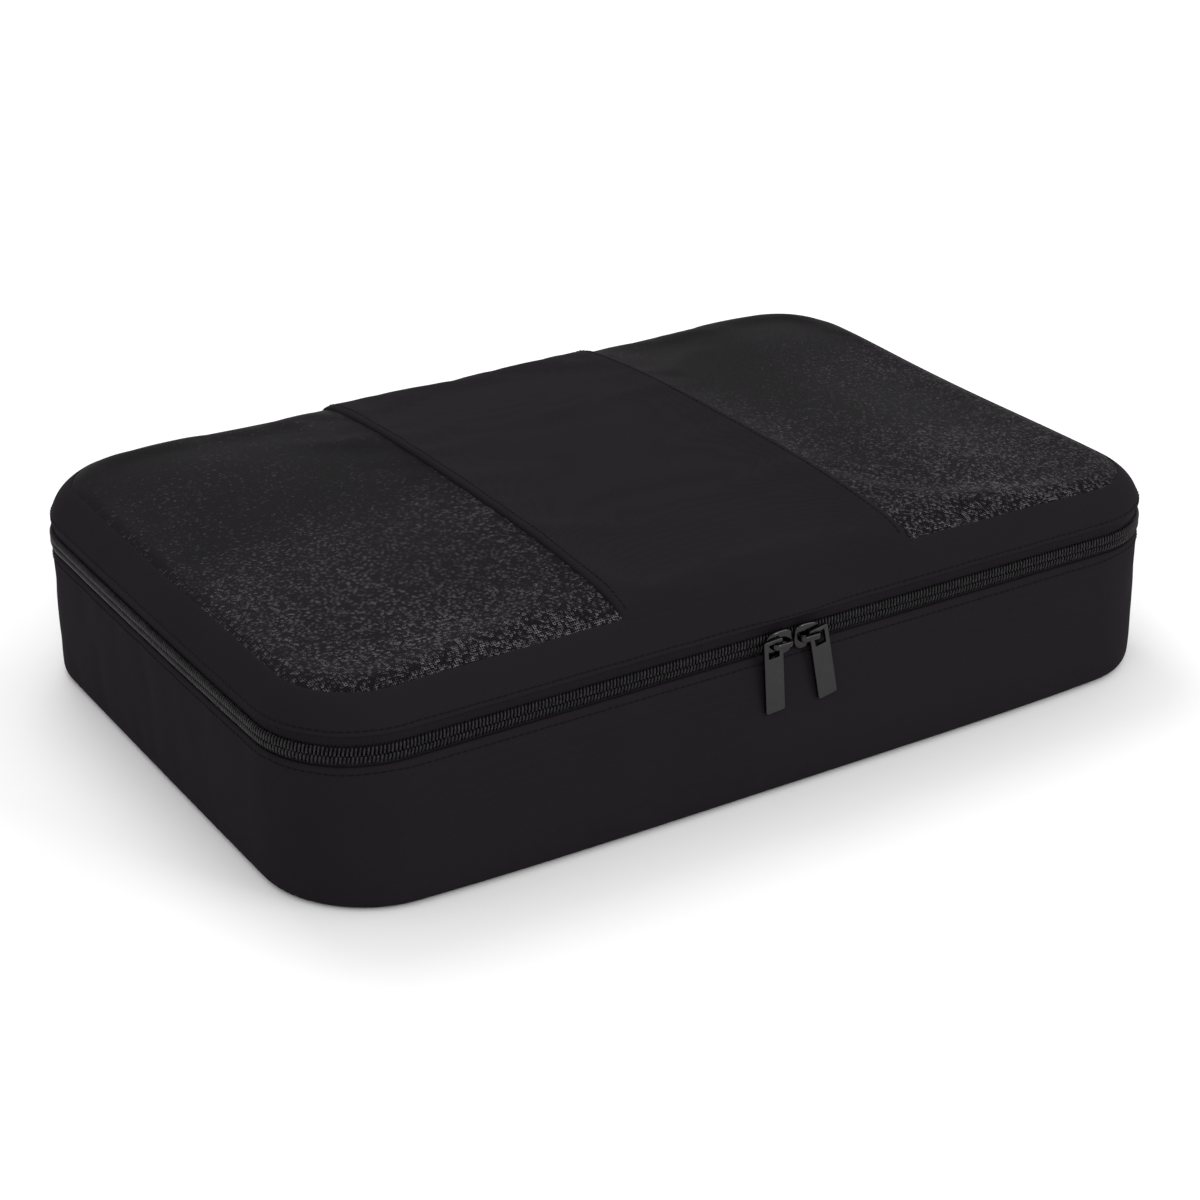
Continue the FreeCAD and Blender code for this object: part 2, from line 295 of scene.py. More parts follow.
def wall_profile():
    """Inset and height from the bottom seam, round the roll and up to the folded edge."""
    turns = [math.radians(90 - 15 * i) for i in range(ROLL_POINTS)]
    low = [(ROLL * (1 - math.cos(t)), ROLL * (1 - math.sin(t))) for t in turns]
    wall_top = TRAY_EDGE - 2 * FOLD
    wall = [(0.0, ROLL + (wall_top - ROLL) * i / WALL_STEPS) for i in range(1, WALL_STEPS + 1)]
    fold = [(0.12 * FOLD, TRAY_EDGE - FOLD), (0.55 * FOLD, TRAY_EDGE - 0.3 * FOLD), (1.3 * FOLD, TRAY_EDGE)]
    return low + wall + fold


def wall_rows(stations, profile):
    rows = []
    for s in stations:
        row = []
        for inset, z in profile:
            p, _ = at(s, inset)
            row.append(soften(Vector((p.x, p.y, z))))
        rows.append(row)
    return rows


def pinned_edges(rows, low, high, ends):
    """Numbers of the points that the seams hold: the first and last of each row, and the end rows."""
    wide, held = len(rows[0]), []
    for i in range(len(rows)):
        for k in range(wide):
            if k < low or k >= wide - high or i < ends or i >= len(rows) - ends:
                held.append(i * wide + k)
    return held


def ripple(obj, height, depth, length, reach):
    """Puckers the cloth along a sewn line at that height: small waves that die out away from it."""
    for vertex in obj.data.vertices:
        x, y, z = vertex.co
        near = math.exp(-abs(z - height) / reach)
        long_wave = noise.noise(Vector((x / length, y / length, 3.1)))
        short_wave = noise.noise(Vector((x, y, 0)) * 2.3 / length)
        way = Vector((x / HALF_X ** 2, y / HALF_Y ** 2, 0)).normalized()
        vertex.co += way * (depth * near * (long_wave + 0.5 * short_wave))
    return obj


rows = wall_rows(spread(-ZIP_END, ZIP_END, 5 * MM), wall_profile())
side_gusset = make_cloth("gusset_cloth", rows)
seams = pinned_edges(rows, low=ROLL_POINTS, high=FOLD_POINTS, ends=1)
fill_out(side_gusset, seams, pressure=1.2, cap=1.1 * MM, looseness=0.002)
ripple(side_gusset, TRAY_EDGE, depth=0.4 * MM, length=9 * MM, reach=7 * MM)
thicken(side_gusset, CLOTH)
finish_piece(side_gusset, "tray", "nylon_cloth", nylon, "side_gusset")

# ---- bottom ----------------------------------------------------------------------------------
# The same nylon, cut to the outline and sewn to the gusset with a bound seam inside.  It lies
# flat under the weight of the clothes.
BOTTOM_INSET = ROLL - 0.3 * MM
HALF_STEPS = 20                     # points from the middle of a row to its end
SAG = 0.3 * MM                      # the cloth lies this unevenly
CREASES = 22                        # per metre


def corner_stations(half_x, half_y, radius, count):
    """Stations of X round a corner, from the end inwards, and the reach in Y at each."""
    turns = [math.radians(90 - 90 / count * i) for i in range(count)]
    return [(half_x - radius + radius * math.sin(t), half_y - radius + radius * math.cos(t)) for t in turns]


def flat_rows(inset, z):
    """Rows of points that cover the outline's inside: one row per station of X."""
    half_x, half_y, radius = HALF_X - inset, HALF_Y - inset, CORNER_R - inset
    corner = corner_stations(half_x, half_y, radius, 9)
    straight = [(x, half_y) for x in spread(half_x - radius, -(half_x - radius), 8 * MM)]
    stations = corner + straight + [(-x, y) for x, y in reversed(corner)]
    steps = range(-HALF_STEPS, HALF_STEPS + 1)
    rows = []
    for x, reach in stations:
        rows.append([soften(Vector((x, reach * v / HALF_STEPS, z))) for v in steps])
    return rows


bottom = make_cloth("bottom_cloth", flat_rows(BOTTOM_INSET, CLOTH))
for vertex in bottom.data.vertices:
    swell = noise.noise(vertex.co * CREASES) * 0.5 + 0.5
    vertex.co.z -= SAG * (1 - swell)
thicken(bottom, CLOTH * 0.7)
finish_piece(bottom, "tray", "nylon_cloth", nylon, "bottom_panel")

# ---- rear panel ------------------------------------------------------------------------------
# One piece of nylon from the bottom seam to the lid's edge.  It has no zipper: its fold, level
# with the zipper, is the lid's hinge.
BAND_INSET = 11 * MM
SHOULDER = 25 * MM                  # the lid's edge is a quarter round of this width
SHOULDER_RISE = 18.1 * MM
CROWN = 10.4 * MM                   # the dome over it
DOME_POWER = 3.15                   # the higher, the flatter the dome and the steeper its sides
REAR_LIFT = 3.5 * MM
RIGHT_DROP = 3.0 * MM
LIFT_REACH = 9 * MM                 # the dome lifts the band fully from this high up
LID_EDGE = LID_BOTTOM + EDGE_RAISE


def crown(x, y):
    """The dome, fuller at the two rear corners and flatter at the right-hand end."""
    across, along = abs(x / HALF_X) ** DOME_POWER, abs(y / HALF_Y) ** DOME_POWER
    middle = CROWN * max(1 - across, 0) * max(1 - along, 0)
    rear = REAR_LIFT * hump(abs(x), 165 * MM, 45 * MM) * hump(y, 100 * MM, 45 * MM)
    flat = RIGHT_DROP * hump(x, 185 * MM, 35 * MM) * hump(y, 0, 80 * MM)
    return middle + rear - flat


def lid_height(inset, x, y):
    """Height of the filled lid over a point that lies inset from the outline."""
    share = min(inset / SHOULDER, 1)
    return LID_BOTTOM + SHOULDER_RISE * math.sqrt(1 - (1 - share) ** 2) + crown(x, y)


ARC_STEPS = 9


def band_profile():
    """Insets and heights of the lid's side band without the dome: folded edge, then quarter round."""
    fold = [(1.3 * FOLD, LID_EDGE - 0.2 * FOLD), (0.5 * FOLD, LID_EDGE)]
    fold.append((0.1 * FOLD, LID_EDGE + 0.6 * FOLD))
    last = math.acos(1 - BAND_INSET / SHOULDER)
    turns = [last * (0.16 + 0.84 * i / ARC_STEPS) for i in range(ARC_STEPS + 1)]
    arc = [(SHOULDER * (1 - math.cos(t)), LID_BOTTOM + SHOULDER_RISE * math.sin(t)) for t in turns]
    edge = (arc[-1][0] + 0.3 * MM, arc[-1][1] - 0.8 * MM)
    return fold + arc + [edge]


def band_rows(stations, profile):
    """As wall_rows, and the lid's dome lifts what leans in."""
    rows = []
    for s in stations:
        row = []
        for inset, z in profile:
            p, _ = at(s, inset)
            lift = crown(p.x, p.y) * min(max((z - LID_BOTTOM) / LIFT_REACH, 0), 1)
            row.append(soften(Vector((p.x, p.y, z + lift))))
        rows.append(row)
    return rows


low_part = [p for p in wall_profile() if p[1] < TRAY_TOP - 3 * MM]
fold_part = [(0.0, z) for z in spread(TRAY_TOP - 3 * MM, LID_BOTTOM + 1 * MM, 1 * MM)]
whole_height = low_part + fold_part + band_profile()[FOLD_POINTS:]
rows = band_rows(spread(ZIP_END - 1 * MM, HALF_ROUND, 6 * MM), whole_height)
rows += band_rows(spread(-HALF_ROUND, -ZIP_END + 1 * MM, 6 * MM)[1:], whole_height)
rear = make_cloth("rear_panel", rows)
thicken(rear, CLOTH)
finish_piece(rear, None, "nylon_cloth", nylon, "back_panel_lower", "back_panel_upper")
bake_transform(rear)

# ---- side band of the lid --------------------------------------------------------------------
# Nylon again, a narrow strip that stands on the zipper and leans over to the top panels.  Both
# its edges are folded in.
SLIDER_PUSH = Vector((0, -2.9 * MM, 1.7 * MM))          # the sliders push the fold out and up
rows = band_rows(spread(-ZIP_END, ZIP_END, 4 * MM), band_profile())
band = make_cloth("band_cloth", rows)
ripple(band, LID_EDGE, depth=0.4 * MM, length=9 * MM, reach=6 * MM)
for vertex in band.data.vertices:
    x, y, z = vertex.co
    if y < 0:
        vertex.co += SLIDER_PUSH * (hump(x, 6 * MM, 17 * MM) * hump(z, LID_EDGE, 5 * MM))
thicken(band, CLOTH)
finish_piece(band, "lid", "nylon_cloth", nylon, "lid_band")

# ---- top panels ------------------------------------------------------------------------------
# Two windows of knitted net with a solid panel of nylon between them.  The clothes push them up
# into a low dome.  All three are cut from one filled sheet, held at its edge and along both seams.
CENTRE_HALF = 72 * MM
PANEL_INSET = BAND_INSET - 2 * MM
NET_DROP = 1.3 * MM                 # the net lies this far under the lid's height
STEPS_Y = 56
WIDE = STEPS_Y + 1                  # points in a row


def inset_of(x, y):
    """How far inside the outline a point lies."""
    out_x, out_y = abs(x) - RUN_X, abs(y) - RUN_Y
    return CORNER_R - math.hypot(max(out_x, 0), max(out_y, 0)) - min(max(out_x, out_y), 0)


def dome(x, y):
    """Height of the net: the lid's own, less NET_DROP, so that the net goes in under the band."""
    return lid_height(max(inset_of(x, y), 0), x, y) - NET_DROP


def top_stations():
    """Stations of X and the reach in Y at each, the edges of the centre panel among them."""
    half_x, half_y, radius = HALF_X - PANEL_INSET, HALF_Y - PANEL_INSET, CORNER_R - PANEL_INSET
    corner = corner_stations(half_x, half_y, radius, 10)
    side = [(x, half_y) for x in spread(half_x - radius, CENTRE_HALF, 5 * MM)]
    middle = [(x, half_y) for x in spread(CENTRE_HALF, -CENTRE_HALF, 5 * MM)][1:-1]
    left = [(-x, y) for x, y in reversed(corner + side)]
    return corner + side, middle, left


right, middle, left = top_stations()
stations = right + middle + left
rows = []
for x, reach in stations:
    row = []
    for k in range(WIDE):
        y = reach * (2 * k / STEPS_Y - 1)
        row.append(soften(Vector((x, y, dome(x, y)))))
    rows.append(row)
top = make_cloth("top_sheet", rows)
seam_rows = (len(right) - 1, len(right) + len(middle))
held = pinned_edges(rows, low=1, high=1, ends=5)
held += [i * WIDE + k for i in seam_rows for k in range(WIDE)]
fill_out(top, held, pressure=1.7, cap=2.6 * MM, looseness=0.004)
points = [v.co.copy() for v in top.data.vertices]
bpy.data.objects.remove(top)
settled = [points[i * WIDE:(i + 1) * WIDE] for i in range(len(stations))]


# The net: knitted polyester.  Its holes are finer than the 0.95 mm at which they are drawn.  They
# are painted dark for the shade under them, and single loops of the yarn get painted glints, more towards
# the front.
NET_PITCH = 0.95 * MM
PATCH = 90.9 * MM                   # size of the patches over which the painted glints and the painted hole shade vary


def net_material():
    material, shader = new_material("knitted net", Roughness=0.6, Specular_IOR_Level=0.03)
    place = add_node(material, "TexCoord").outputs["Object"]
    holes = add_node(material, "TexVoronoi", [(place, "Vector")], voronoi_dimensions="2D",
                     Scale=1 / NET_PITCH, Randomness=0.35)
    yarn = add_node(material, "ValToRGB", [(holes.outputs["Distance"], "Fac")])
    yarn.color_ramp.elements[0].position, yarn.color_ramp.elements[1].position = 0.30, 0.62
    patches = add_node(material, "TexNoise", [(place, "Vector")], Scale=1 / PATCH, Detail=2.0).outputs["Fac"]
    # painted shade: the holes are coloured dark for the shaded inside of the lid that shows through them
    under = add_node(material, "ValToRGB", [(patches, "Fac")])
    under.color_ramp.elements[0].position, under.color_ramp.elements[1].position = 0.35, 0.65
    under.color_ramp.elements[0].color = linear("#070507")
    under.color_ramp.elements[1].color = linear("#0e0b0e")
    split = add_node(material, "SeparateXYZ", [(place, "Vector")])
    # painted glints: single loops of the yarn are painted brighter towards the front, where the lamps catch
    # them, and more in some patches
    glint_towards_front = add_node(material, "MapRange", [(split.outputs["Y"], "Value")], From_Min=0.10,
                         From_Max=-0.15, To_Min=0.60, To_Max=0.9).outputs["Result"]
    even = add_node(material, "MapRange", [(patches, "Value")], From_Min=0.3, From_Max=0.7,
                    To_Min=0.43, To_Max=0.56).outputs["Result"]
    near = add_node(material, "Math", [(glint_towards_front, 0), (even, 1)], operation="MULTIPLY").outputs[0]
    glint_pick = add_node(material, "Math", [(holes.outputs["Color"], 0), (near, 1)], operation="MULTIPLY")
    # the yarn's colour, from its own near-black up to painted glints
    painted_glints = add_node(material, "ValToRGB", [(glint_pick.outputs[0], "Fac")])
    painted_glints.color_ramp.elements[0].position, painted_glints.color_ramp.elements[1].position = 0.25, 0.60
    painted_glints.color_ramp.elements[0].color = linear("#151215")
    painted_glints.color_ramp.elements[1].color = linear("#a39ea6")
    mix = add_node(material, "MixRGB", [(yarn.outputs["Color"], "Fac"), (under.outputs["Color"], "Color1"),
                                        (painted_glints.outputs["Color"], "Color2")])
    material.node_tree.links.new(mix.outputs["Color"], shader.inputs["Base Color"])
    bump = add_node(material, "Bump", [(yarn.outputs["Color"], "Height")], Strength=0.5, Distance=0.12 * MM)
    material.node_tree.links.new(bump.outputs["Normal"], shader.inputs["Normal"])
    return material


net = net_material()
windows = (("right", 0, len(right) + 1), ("left", len(right) + len(middle) - 1, len(stations)))
for name, first, last in windows:
    window = make_cloth("net_" + name, settled[first:last])
    thicken(window, 0.8 * MM)
    finish_piece(window, "lid", "nylon_mesh", net, "mesh_panel_" + name)

# Centre panel: nylon, its long edges folded under and sewn down over the net.
PANEL_RAISE = 1.4 * MM              # it lies on the net
UNDER_BAND = 1.45 * MM              # its two ends dip this far under the band
TUCK = ((0.3, 1.3), (0.9, 0.9), (0.7, 0.25), (-0.3, 0.0))   # outwards and down in mm, round a fold


def moved_row(row, away, drop):
    return [p + Vector((away, 0, -drop)) for p in row]


inner = [moved_row(row, 0, -PANEL_RAISE) for row in settled[len(right) - 1:len(right) + len(middle) + 1]]
for row in inner:
    for end, side in ((0, -1), (-1, 1)):
        x, y = row[end].x, row[end].y - side * 0.5 * MM
        row[end] = Vector((x, y, lid_height(inset_of(x, y), x, y) - UNDER_BAND))
rows = [moved_row(inner[0], away * MM, drop * MM) for away, drop in TUCK]
rows += inner[1:-1]
rows += [moved_row(inner[-1], -away * MM, drop * MM) for away, drop in reversed(TUCK)]
centre = make_cloth("centre_cloth", rows)
thicken(centre, CLOTH)
finish_piece(centre, "lid", "nylon_cloth", nylon, "centre_panel")

# ---- zipper tapes ----------------------------------------------------------------------------
# Two woven polyester tapes, sewn behind the folded edges of the gusset and the band.  They are a
# little coarser than the nylon, and dark and matt like it.
tape_cloth = woven("woven zipper tape", "#141214", "#1b181b", thread=0.8 * MM, roughness=0.65, sheen=0.0,
                   relief=0.08 * MM)
TAPE = 0.7 * MM
BEHIND_CLOTH = CLOTH + 0.2 * MM
HALF_GAP = 0.3 * MM


def tape_rows(z_list):
    return wall_rows(spread(-ZIP_END, ZIP_END, 4 * MM), [(BEHIND_CLOTH, z) for z in z_list])


for name, body, low, high in (("lower", "tray", TRAY_TOP - 7 * MM, ZIP_MID - HALF_GAP),
                              ("upper", "lid", ZIP_MID + HALF_GAP, LID_EDGE + 2.2 * MM)):
    tape = make_cloth("tape_" + name, tape_rows(spread(low, high, 1.6 * MM)))
    thicken(tape, TAPE)
    finish_piece(tape, body, "zipper_tape", tape_cloth, "zipper_tape_" + name)

# ---- coil ------------------------------------------------------------------------------------
# Each row is a spiral of nylon monofilament sewn to its tape, pitch 1.6 mm.  The outer half of
# every turn shows as a short slanted rib with a thicker head towards the middle.
PITCH = 1.6 * MM
SHADE = 1.5385 * MM                 # about one turn, so that neighbouring turns differ a little
SLANT = 0.12                        # how far a rib leans along the chain for its length
RIB = ((3.9, -0.9, 0.4), (3.4, 0.25, 0.5), (1.9, 0.75, 0.5), (0.6, 0.6, 0.62), (0.0, 0.0, 0.5))


def coil_material():
    material, shader = new_material("nylon monofilament", Roughness=0.36, Specular_IOR_Level=0.18)
    place = add_node(material, "TexCoord").outputs["Object"]
    tone = add_node(material, "TexNoise", [(place, "Vector")], Scale=1 / SHADE, Detail=2.0).outputs["Fac"]
    ramp = add_node(material, "ValToRGB", [(tone, "Fac")])
    ramp.color_ramp.elements[0].position, ramp.color_ramp.elements[1].position = 0.36, 0.66
    ramp.color_ramp.elements[0].color = linear("#070607")
    ramp.color_ramp.elements[1].color = linear("#242124")
    material.node_tree.links.new(ramp.outputs["Color"], shader.inputs["Base Color"])
    return material


monofilament = coil_material()


def add_tube(points, faces, centres, radii, sides=6):
    """Adds a closed tube through centres to the lists of points and faces."""
    base = len(points)
    for i, c in enumerate(centres):
        ahead = centres[min(i + 1, len(centres) - 1)] - centres[max(i - 1, 0)]
        first = ahead.orthogonal().normalized()
        second = ahead.cross(first).normalized()
        for k in range(sides):
            turn = 2 * math.pi * k / sides
            points.append(c + (first * math.cos(turn) + second * math.sin(turn)) * radii[i])
    for i in range(len(centres) - 1):
        for k in range(sides):
            a, b = base + i * sides + k, base + i * sides + (k + 1) % sides
            faces.append((a, b, b + sides, a + sides))
    faces.append(tuple(base + k for k in reversed(range(sides))))
    faces.append(tuple(base + (len(centres) - 1) * sides + k for k in range(sides)))


def coil_row(name, body, way, offset):
    """way is 1 for the row above the middle and -1 for the row below.

    RIB is one turn's centre line in mm: distance from the middle, lift off the tape, and radius.
    """
    points, faces = [], []
    count = int(2 * ZIP_END / PITCH) - 2
    for i in range(count):
        s = -ZIP_END + PITCH * (i + 1 + offset)
        centres, radii = [], []
        for reach, lift, radius in RIB:
            p, _ = at(s + SLANT * reach * MM * way, CLOTH - (0.5 + lift) * MM)
            centres.append(soften(Vector((p.x, p.y, ZIP_MID + way * reach * MM))))
            radii.append(radius * MM)
        add_tube(points, faces, centres, radii)
    row = make_object(name.replace("zipper_", ""), points, faces)
    return finish_piece(row, body, "nylon_coil", monofilament, name)


coil_row("zipper_coil_lower", "tray", -1, 0.0)
coil_row("zipper_coil_upper", "lid", 1, 0.5)

# ---- bindings --------------------------------------------------------------------------------
# Folded grosgrain tape over every raw seam, seen only when the lid is open.
grosgrain = woven("grosgrain binding", "#100f11", "#1d1b1d", thread=0.9 * MM, roughness=0.7, sheen=0.04,
                  relief=0.1 * MM)


def bind(name, body, stations, profile, wrap=False):
    strip = make_cloth("sewn_" + name, wall_rows(stations, profile), wrap)
    thicken(strip, 0.8 * MM)
    return finish_piece(strip, body, "binding_tape", grosgrain, name)


whole_round = spread(-HALF_ROUND, HALF_ROUND, 6 * MM)[:-1]
zip_round = spread(-ZIP_END, ZIP_END, 6 * MM)
flat_on_bottom = [(ROLL + d * MM, (1.9 + 0.5 * math.sin(d / 2)) * MM) for d in range(8)]
bind("bottom_seam_binding", "tray", whole_round, flat_on_bottom, True)
behind_tape = BEHIND_CLOTH + TAPE + 0.2 * MM
below_zipper = [(behind_tape, TRAY_TOP - (9.5 - 1.5 * i) * MM) for i in range(6)]
bind("gusset_seam_binding", "tray", zip_round, below_zipper)
above_zipper = [(behind_tape, LID_BOTTOM + (0.8 + 0.6 * i) * MM) for i in range(5)]
bind("band_seam_binding", "lid", zip_round, above_zipper)
seam_z = LID_BOTTOM + 8 * MM
under_panels = [(BAND_INSET + 1 * MM, seam_z - (5 - 1.5 * i) * MM) for i in range(5)]
bind("lid_seam_binding", "lid", whole_round, under_panels, True)
for side, name in ((-1, "left"), (1, "right")):
    middle_s = side * ZIP_END
    upright = [(BEHIND_CLOTH, z) for z in spread(12 * MM, TRAY_TOP - 10 * MM, 6 * MM)]
    bind("back_seam_binding_" + name, "tray", spread(middle_s - 4 * MM, middle_s + 4 * MM, 2 * MM), upright)
    row = settled[seam_rows[0] if side > 0 else seam_rows[1]][2:-2]
    strip_rows = [[p + Vector((shift * MM, 0, -1.3 * MM)) for p in row] for shift in (6, 2, -2, -6)]
    strip = make_cloth("sewn_centre_binding_" + name, strip_rows)
    thicken(strip, 0.7 * MM)
    finish_piece(strip, "lid", "binding_tape", grosgrain, "centre_seam_binding_" + name)

# ---- topstitching ----------------------------------------------------------------------------
# Polyester thread, 8 stitches to the inch: a line along each folded edge beside the zipper and
# along both edges of the centre panel.
thread_material, thread_shader = new_material("polyester thread", Roughness=0.6, Specular_IOR_Level=0.03)
thread_shader.inputs["Base Color"].default_value = linear("#151215")
STITCH = 3.2 * MM
BOW = ((0.08, -0.15, 0.2), (0.25, 0.14, 0.24), (0.5, 0.2, 0.24), (0.75, 0.14, 0.24), (0.92, -0.15, 0.2))


def topstitch(name, cloth, path, body):
    """Stitches that sink into the cloth at both ends, along a list of points.

    BOW is one stitch: share of its length, lift off the cloth and radius in mm.
    """
    tree = BVHTree.FromObject(cloth, bpy.context.evaluated_depsgraph_get())
    points, faces = [], []
    for here, ahead in zip(path[:-1], path[1:]):
        centres, radii = [], []
        for share, lift, radius in BOW:
            spot, normal, _, _ = tree.find_nearest(here.lerp(ahead, share))
            centres.append(spot + normal * lift * MM)
            radii.append(radius * MM)
        add_tube(points, faces, centres, radii, sides=5)
    line = make_object(name, points, faces)
    return finish_piece(line, body, "nylon_cloth", thread_material)


def round_path(z):
    """Points a little outside the cloth at that height, one stitch apart."""
    path = []
    for s in spread(-ZIP_END + 2 * MM, ZIP_END - 2 * MM, STITCH):
        p, n = at(s, 0)
        path.append(soften(Vector((p.x, p.y, z))) + n * 3 * MM)
    return path


topstitch("stitching_gusset", side_gusset, round_path(TRAY_EDGE - 3.2 * MM), "tray")
topstitch("stitching_band", band, round_path(LID_EDGE + 3.4 * MM), "lid")
for side, name in ((1, "right"), (-1, "left")):
    x = side * (CENTRE_HALF - 1.8 * MM)
    along = spread(-HALF_Y + 12 * MM, HALF_Y - 12 * MM, STITCH)
    path = [Vector((x, y, dome(x, y) + 5 * MM)) for y in along]
    topstitch("stitching_centre_" + name, centre, path, "lid")

# ---- sliders and crowns ----------------------------------------------------------------------
# Die-cast zinc with a dark gunmetal plating, tumbled smooth.  Each slider has two domed plates on
# a post, a lip below that guides the coil, and an arched crown on the front plate for its tab.
PLATE = 1.3 * MM                    # thickness of a plate
FLECK = 1.6667 * MM                 # size of the cloudy patches in the plating
DOMED = ((0.9, 0.0), (0.97, 0.12), (1.0, 0.42), (0.99, 0.7),
         (0.95, 0.9), (0.87, 1.0), (0.6, 1.1), (0.25, 1.14))    # shares of the outline and of PLATE


def plated(name, colour, roughness):
    material, shader = new_material(name, Metallic=1.0, Roughness=roughness)
    place = add_node(material, "TexCoord").outputs["Object"]
    cloud = add_node(material, "TexNoise", [(place, "Vector")], Scale=1 / FLECK, Detail=4.0).outputs["Fac"]
    ramp = add_node(material, "ValToRGB", [(cloud, "Fac")])
    ramp.color_ramp.elements[0].color = linear(colour)
    ramp.color_ramp.elements[1].color = [min(1, 1.35 * c) for c in linear(colour)[:3]] + [1.0]
    material.node_tree.links.new(ramp.outputs["Color"], shader.inputs["Base Color"])
    bump = add_node(material, "Bump", [(cloud, "Height")], Strength=0.15, Distance=0.02 * MM)
    material.node_tree.links.new(bump.outputs["Normal"], shader.inputs["Normal"])
    return material


gunmetal = plated("gunmetal plating", "#343334", 0.32)
bright_gunmetal = plated("tumbled gunmetal plating", "#302f2f", 0.14)


def stack_rings(points, faces, rings):
    """Adds the closed skin over a stack of rings, with a flat cap at each end."""
    base, around = len(points), len(rings[0])
    for ring in rings:
        points.extend(ring)
    for i in range(len(rings) - 1):
        for k in range(around):
            a, b = base + i * around + k, base + i * around + (k + 1) % around
            faces.append((a, b, b + around, a + around))
    faces.append(tuple(base + k for k in reversed(range(around))))
    faces.append(tuple(base + (len(rings) - 1) * around + k for k in range(around)))


def superellipse(half_u, half_v, power, count):
    """Points of a rounded rectangle, squarer as power grows."""
    ring = []
    for i in range(count):
        turn = 2 * math.pi * i / count
        c, s = math.cos(turn), math.sin(turn)
        u = half_u * math.copysign(abs(c) ** (2 / power), c)
        v = half_v * math.copysign(abs(s) ** (2 / power), s)
        ring.append((u, v))
    return ring


def cast_metal(name, points, faces, body, replaced):
    """Makes the object, turns its faces outwards and keeps flat faces flat."""
    obj = make_object(name, points, faces)
    work = bmesh.new()
    work.from_mesh(obj.data)
    bmesh.ops.recalc_face_normals(work, faces=work.faces)
    work.to_mesh(obj.data)
    work.free()
    obj.data.set_sharp_from_angle(angle=math.radians(38))
    return finish_piece(obj, body, "gunmetal", bright_gunmetal, replaced)


def make_slider(name, nose):
    """nose is the direction along X in which the slider closes the chain."""
    low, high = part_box("slider_body_" + name)
    crown_low, crown_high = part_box("slider_crown_" + name)
    middle, front, rear_face = (low.x + high.x) / 2, -low.y, -high.y
    half_u = (high.x - low.x) / 2
    tail, shoulders = 5.3 * MM, 6.0 * MM        # half heights of the plates at their two ends
    inside = front - PLATE / 2

    def spot(u, v, w):
        return Vector((middle + nose * u, -w, ZIP_MID + v))

    outline = superellipse(1, 1, 2.9, 48)
    points, faces = [], []
    for foot, way in ((front - PLATE, 1), (rear_face + PLATE, -1)):
        rings = []
        for share, rise in DOMED:
            ring = []
            for u, v in outline:
                half_v = tail + (shoulders - tail) * (u + 1) / 2
                ring.append(spot(u * share * half_u, v * share * half_v, foot + way * rise * PLATE))
            rings.append(ring)
        stack_rings(points, faces, rings)
    post = superellipse(2.0 * MM, 0.35 * MM, 4, 16)
    rings = [[spot(u + half_u - 3.2 * MM, v, w) for u, v in post] for w in (rear_face, inside)]
    stack_rings(points, faces, rings)
    lip = superellipse(4.2 * MM, 0.5 * MM, 5, 24)
    foot = front - PLATE - 2.6 * MM
    rings = [[spot(u - 0.5 * MM, v - 4.8 * MM, w) for u, v in lip] for w in (foot, inside)]
    stack_rings(points, faces, rings)
    cast_metal("slider_" + name, points, faces, "slider_" + name, "slider_body_" + name)

    # The crown is a bent strap: its section follows a path up one leg, over and down the other.
    reach = (crown_high.x - crown_low.x) / 2 - 0.7 * MM
    crest = -crown_low.y - 0.62 * MM
    bend = 1.7 * MM
    quarter = [math.radians(15 * i) for i in range(7)]
    path = [(-reach, front - 0.5 * MM)]
    path += [(-reach + bend * (1 - math.cos(t)), crest - bend * (1 - math.sin(t))) for t in quarter]
    path += [(-u, w) for u, w in reversed(path)]
    rings = []
    for i, (u, w) in enumerate(path):
        before, after = path[max(i - 1, 0)], path[min(i + 1, len(path) - 1)]
        run = Vector((after[0] - before[0], after[1] - before[1])).normalized()
        ring = []
        for across, v in superellipse(0.6 * MM, 1.3 * MM, 3.2, 20):
            ring.append(spot(u - run.y * across, v, w + run.x * across))
        rings.append(ring)
    points, faces = [], []
    stack_rings(points, faces, rings)
    cast_metal("crown_" + name, points, faces, "slider_" + name, "slider_crown_" + name)


make_slider("left", 1)
make_slider("right", -1)

# ---- pull tabs -------------------------------------------------------------------------------
# Flat stamped tabs with the same dark plating, left a little duller than the sliders.  Each hangs
# by its slot on the tail leg of its crown.
for name in ("left", "right"):
    tab = frame["nodes"]["pull_tab_" + name].data
    tab.materials.clear()
    tab.materials.append(gunmetal)

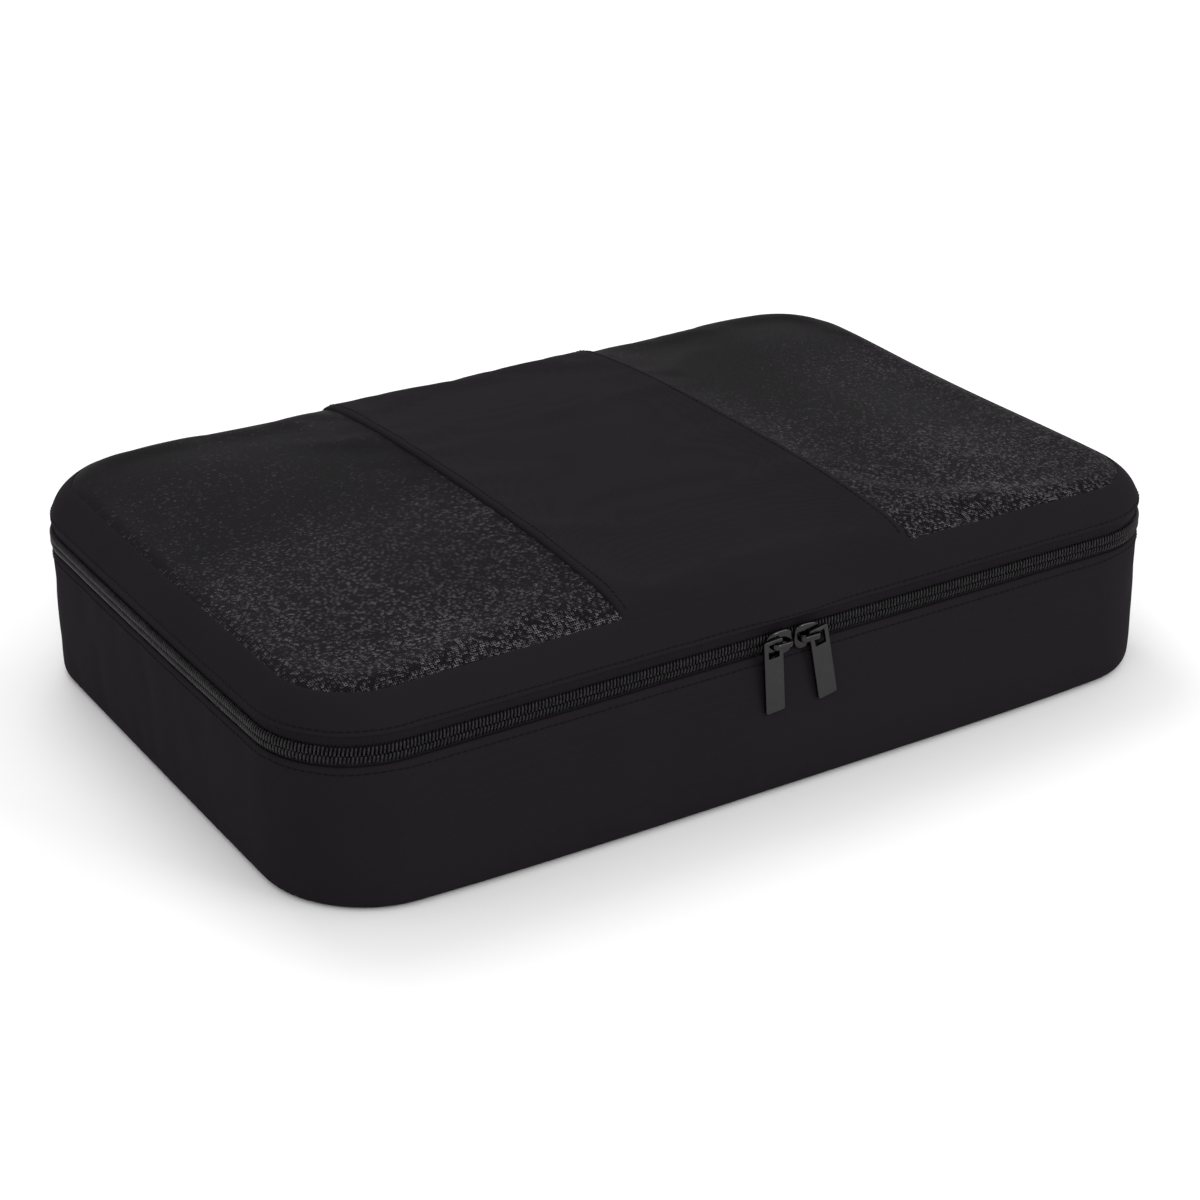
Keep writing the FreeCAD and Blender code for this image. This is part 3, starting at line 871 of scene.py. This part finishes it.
# ---- floor, light and camera -----------------------------------------------------------------
# A seamless pale floor in a soft-box studio, seen from the front left and above.
floor_material, floor_shader = new_material("studio floor", Roughness=0.9, Specular_IOR_Level=0.2)
floor_shader.inputs["Base Color"].default_value = (0.87, 0.87, 0.87, 1)
floor = make_object("floor", [(-6, -6, 0), (6, -6, 0), (6, 6, 0), (-6, 6, 0)], [(0, 1, 2, 3)])
floor.data.materials.append(floor_material)

world = bpy.data.worlds.new("studio")
bpy.context.scene.world = world
world.use_nodes = True
world.node_tree.nodes["Background"].inputs["Color"].default_value = (1, 1, 1, 1)
world.node_tree.nodes["Background"].inputs["Strength"].default_value = 1.0
bpy.context.scene.view_settings.view_transform = "Standard"


def soft_box(name, place, size, power):
    light = bpy.data.lights.new(name, "AREA")
    light.shape, light.size, light.energy = "DISK", size, power
    lamp = bpy.data.objects.new(name, light)
    lamp.location = place
    lamp.rotation_mode = "QUATERNION"
    lamp.rotation_quaternion = (Vector((0, 0, 0.05)) - Vector(place)).to_track_quat("-Z", "Y")
    bpy.context.scene.collection.objects.link(lamp)


soft_box("key", (0.1, 1.0, 1.6), 1.0, 10)
soft_box("front", (1.2, -1.6, 0.9), 1.2, 10)
soft_box("glint left", (-0.7, -1.3, 1.2), 0.22, 3.0)         # small and bright, for the metal's edges
soft_box("glint right", (0.6, -1.5, 0.6), 0.22, 2.0)

AZIMUTH, ELEVATION = math.radians(-32.19), math.radians(24.71)
DISTANCE = 1.216
AIM = Vector((0, 0, 50 * MM))
level = math.cos(ELEVATION)
back = Vector((math.sin(AZIMUTH) * level, -math.cos(AZIMUTH) * level, math.sin(ELEVATION)))
camera = bpy.data.objects.new("camera", bpy.data.cameras.new("camera"))
camera.location = AIM + back * DISTANCE
camera.rotation_mode = "QUATERNION"
camera.rotation_quaternion = (-back).to_track_quat("-Z", "Y")
camera.data.lens, camera.data.sensor_width = 78.6, 36
camera.data.shift_x, camera.data.shift_y = 0.0014, -0.0366
camera.data.clip_start = 0.05
bpy.context.scene.collection.objects.link(camera)
bpy.context.scene.camera = camera
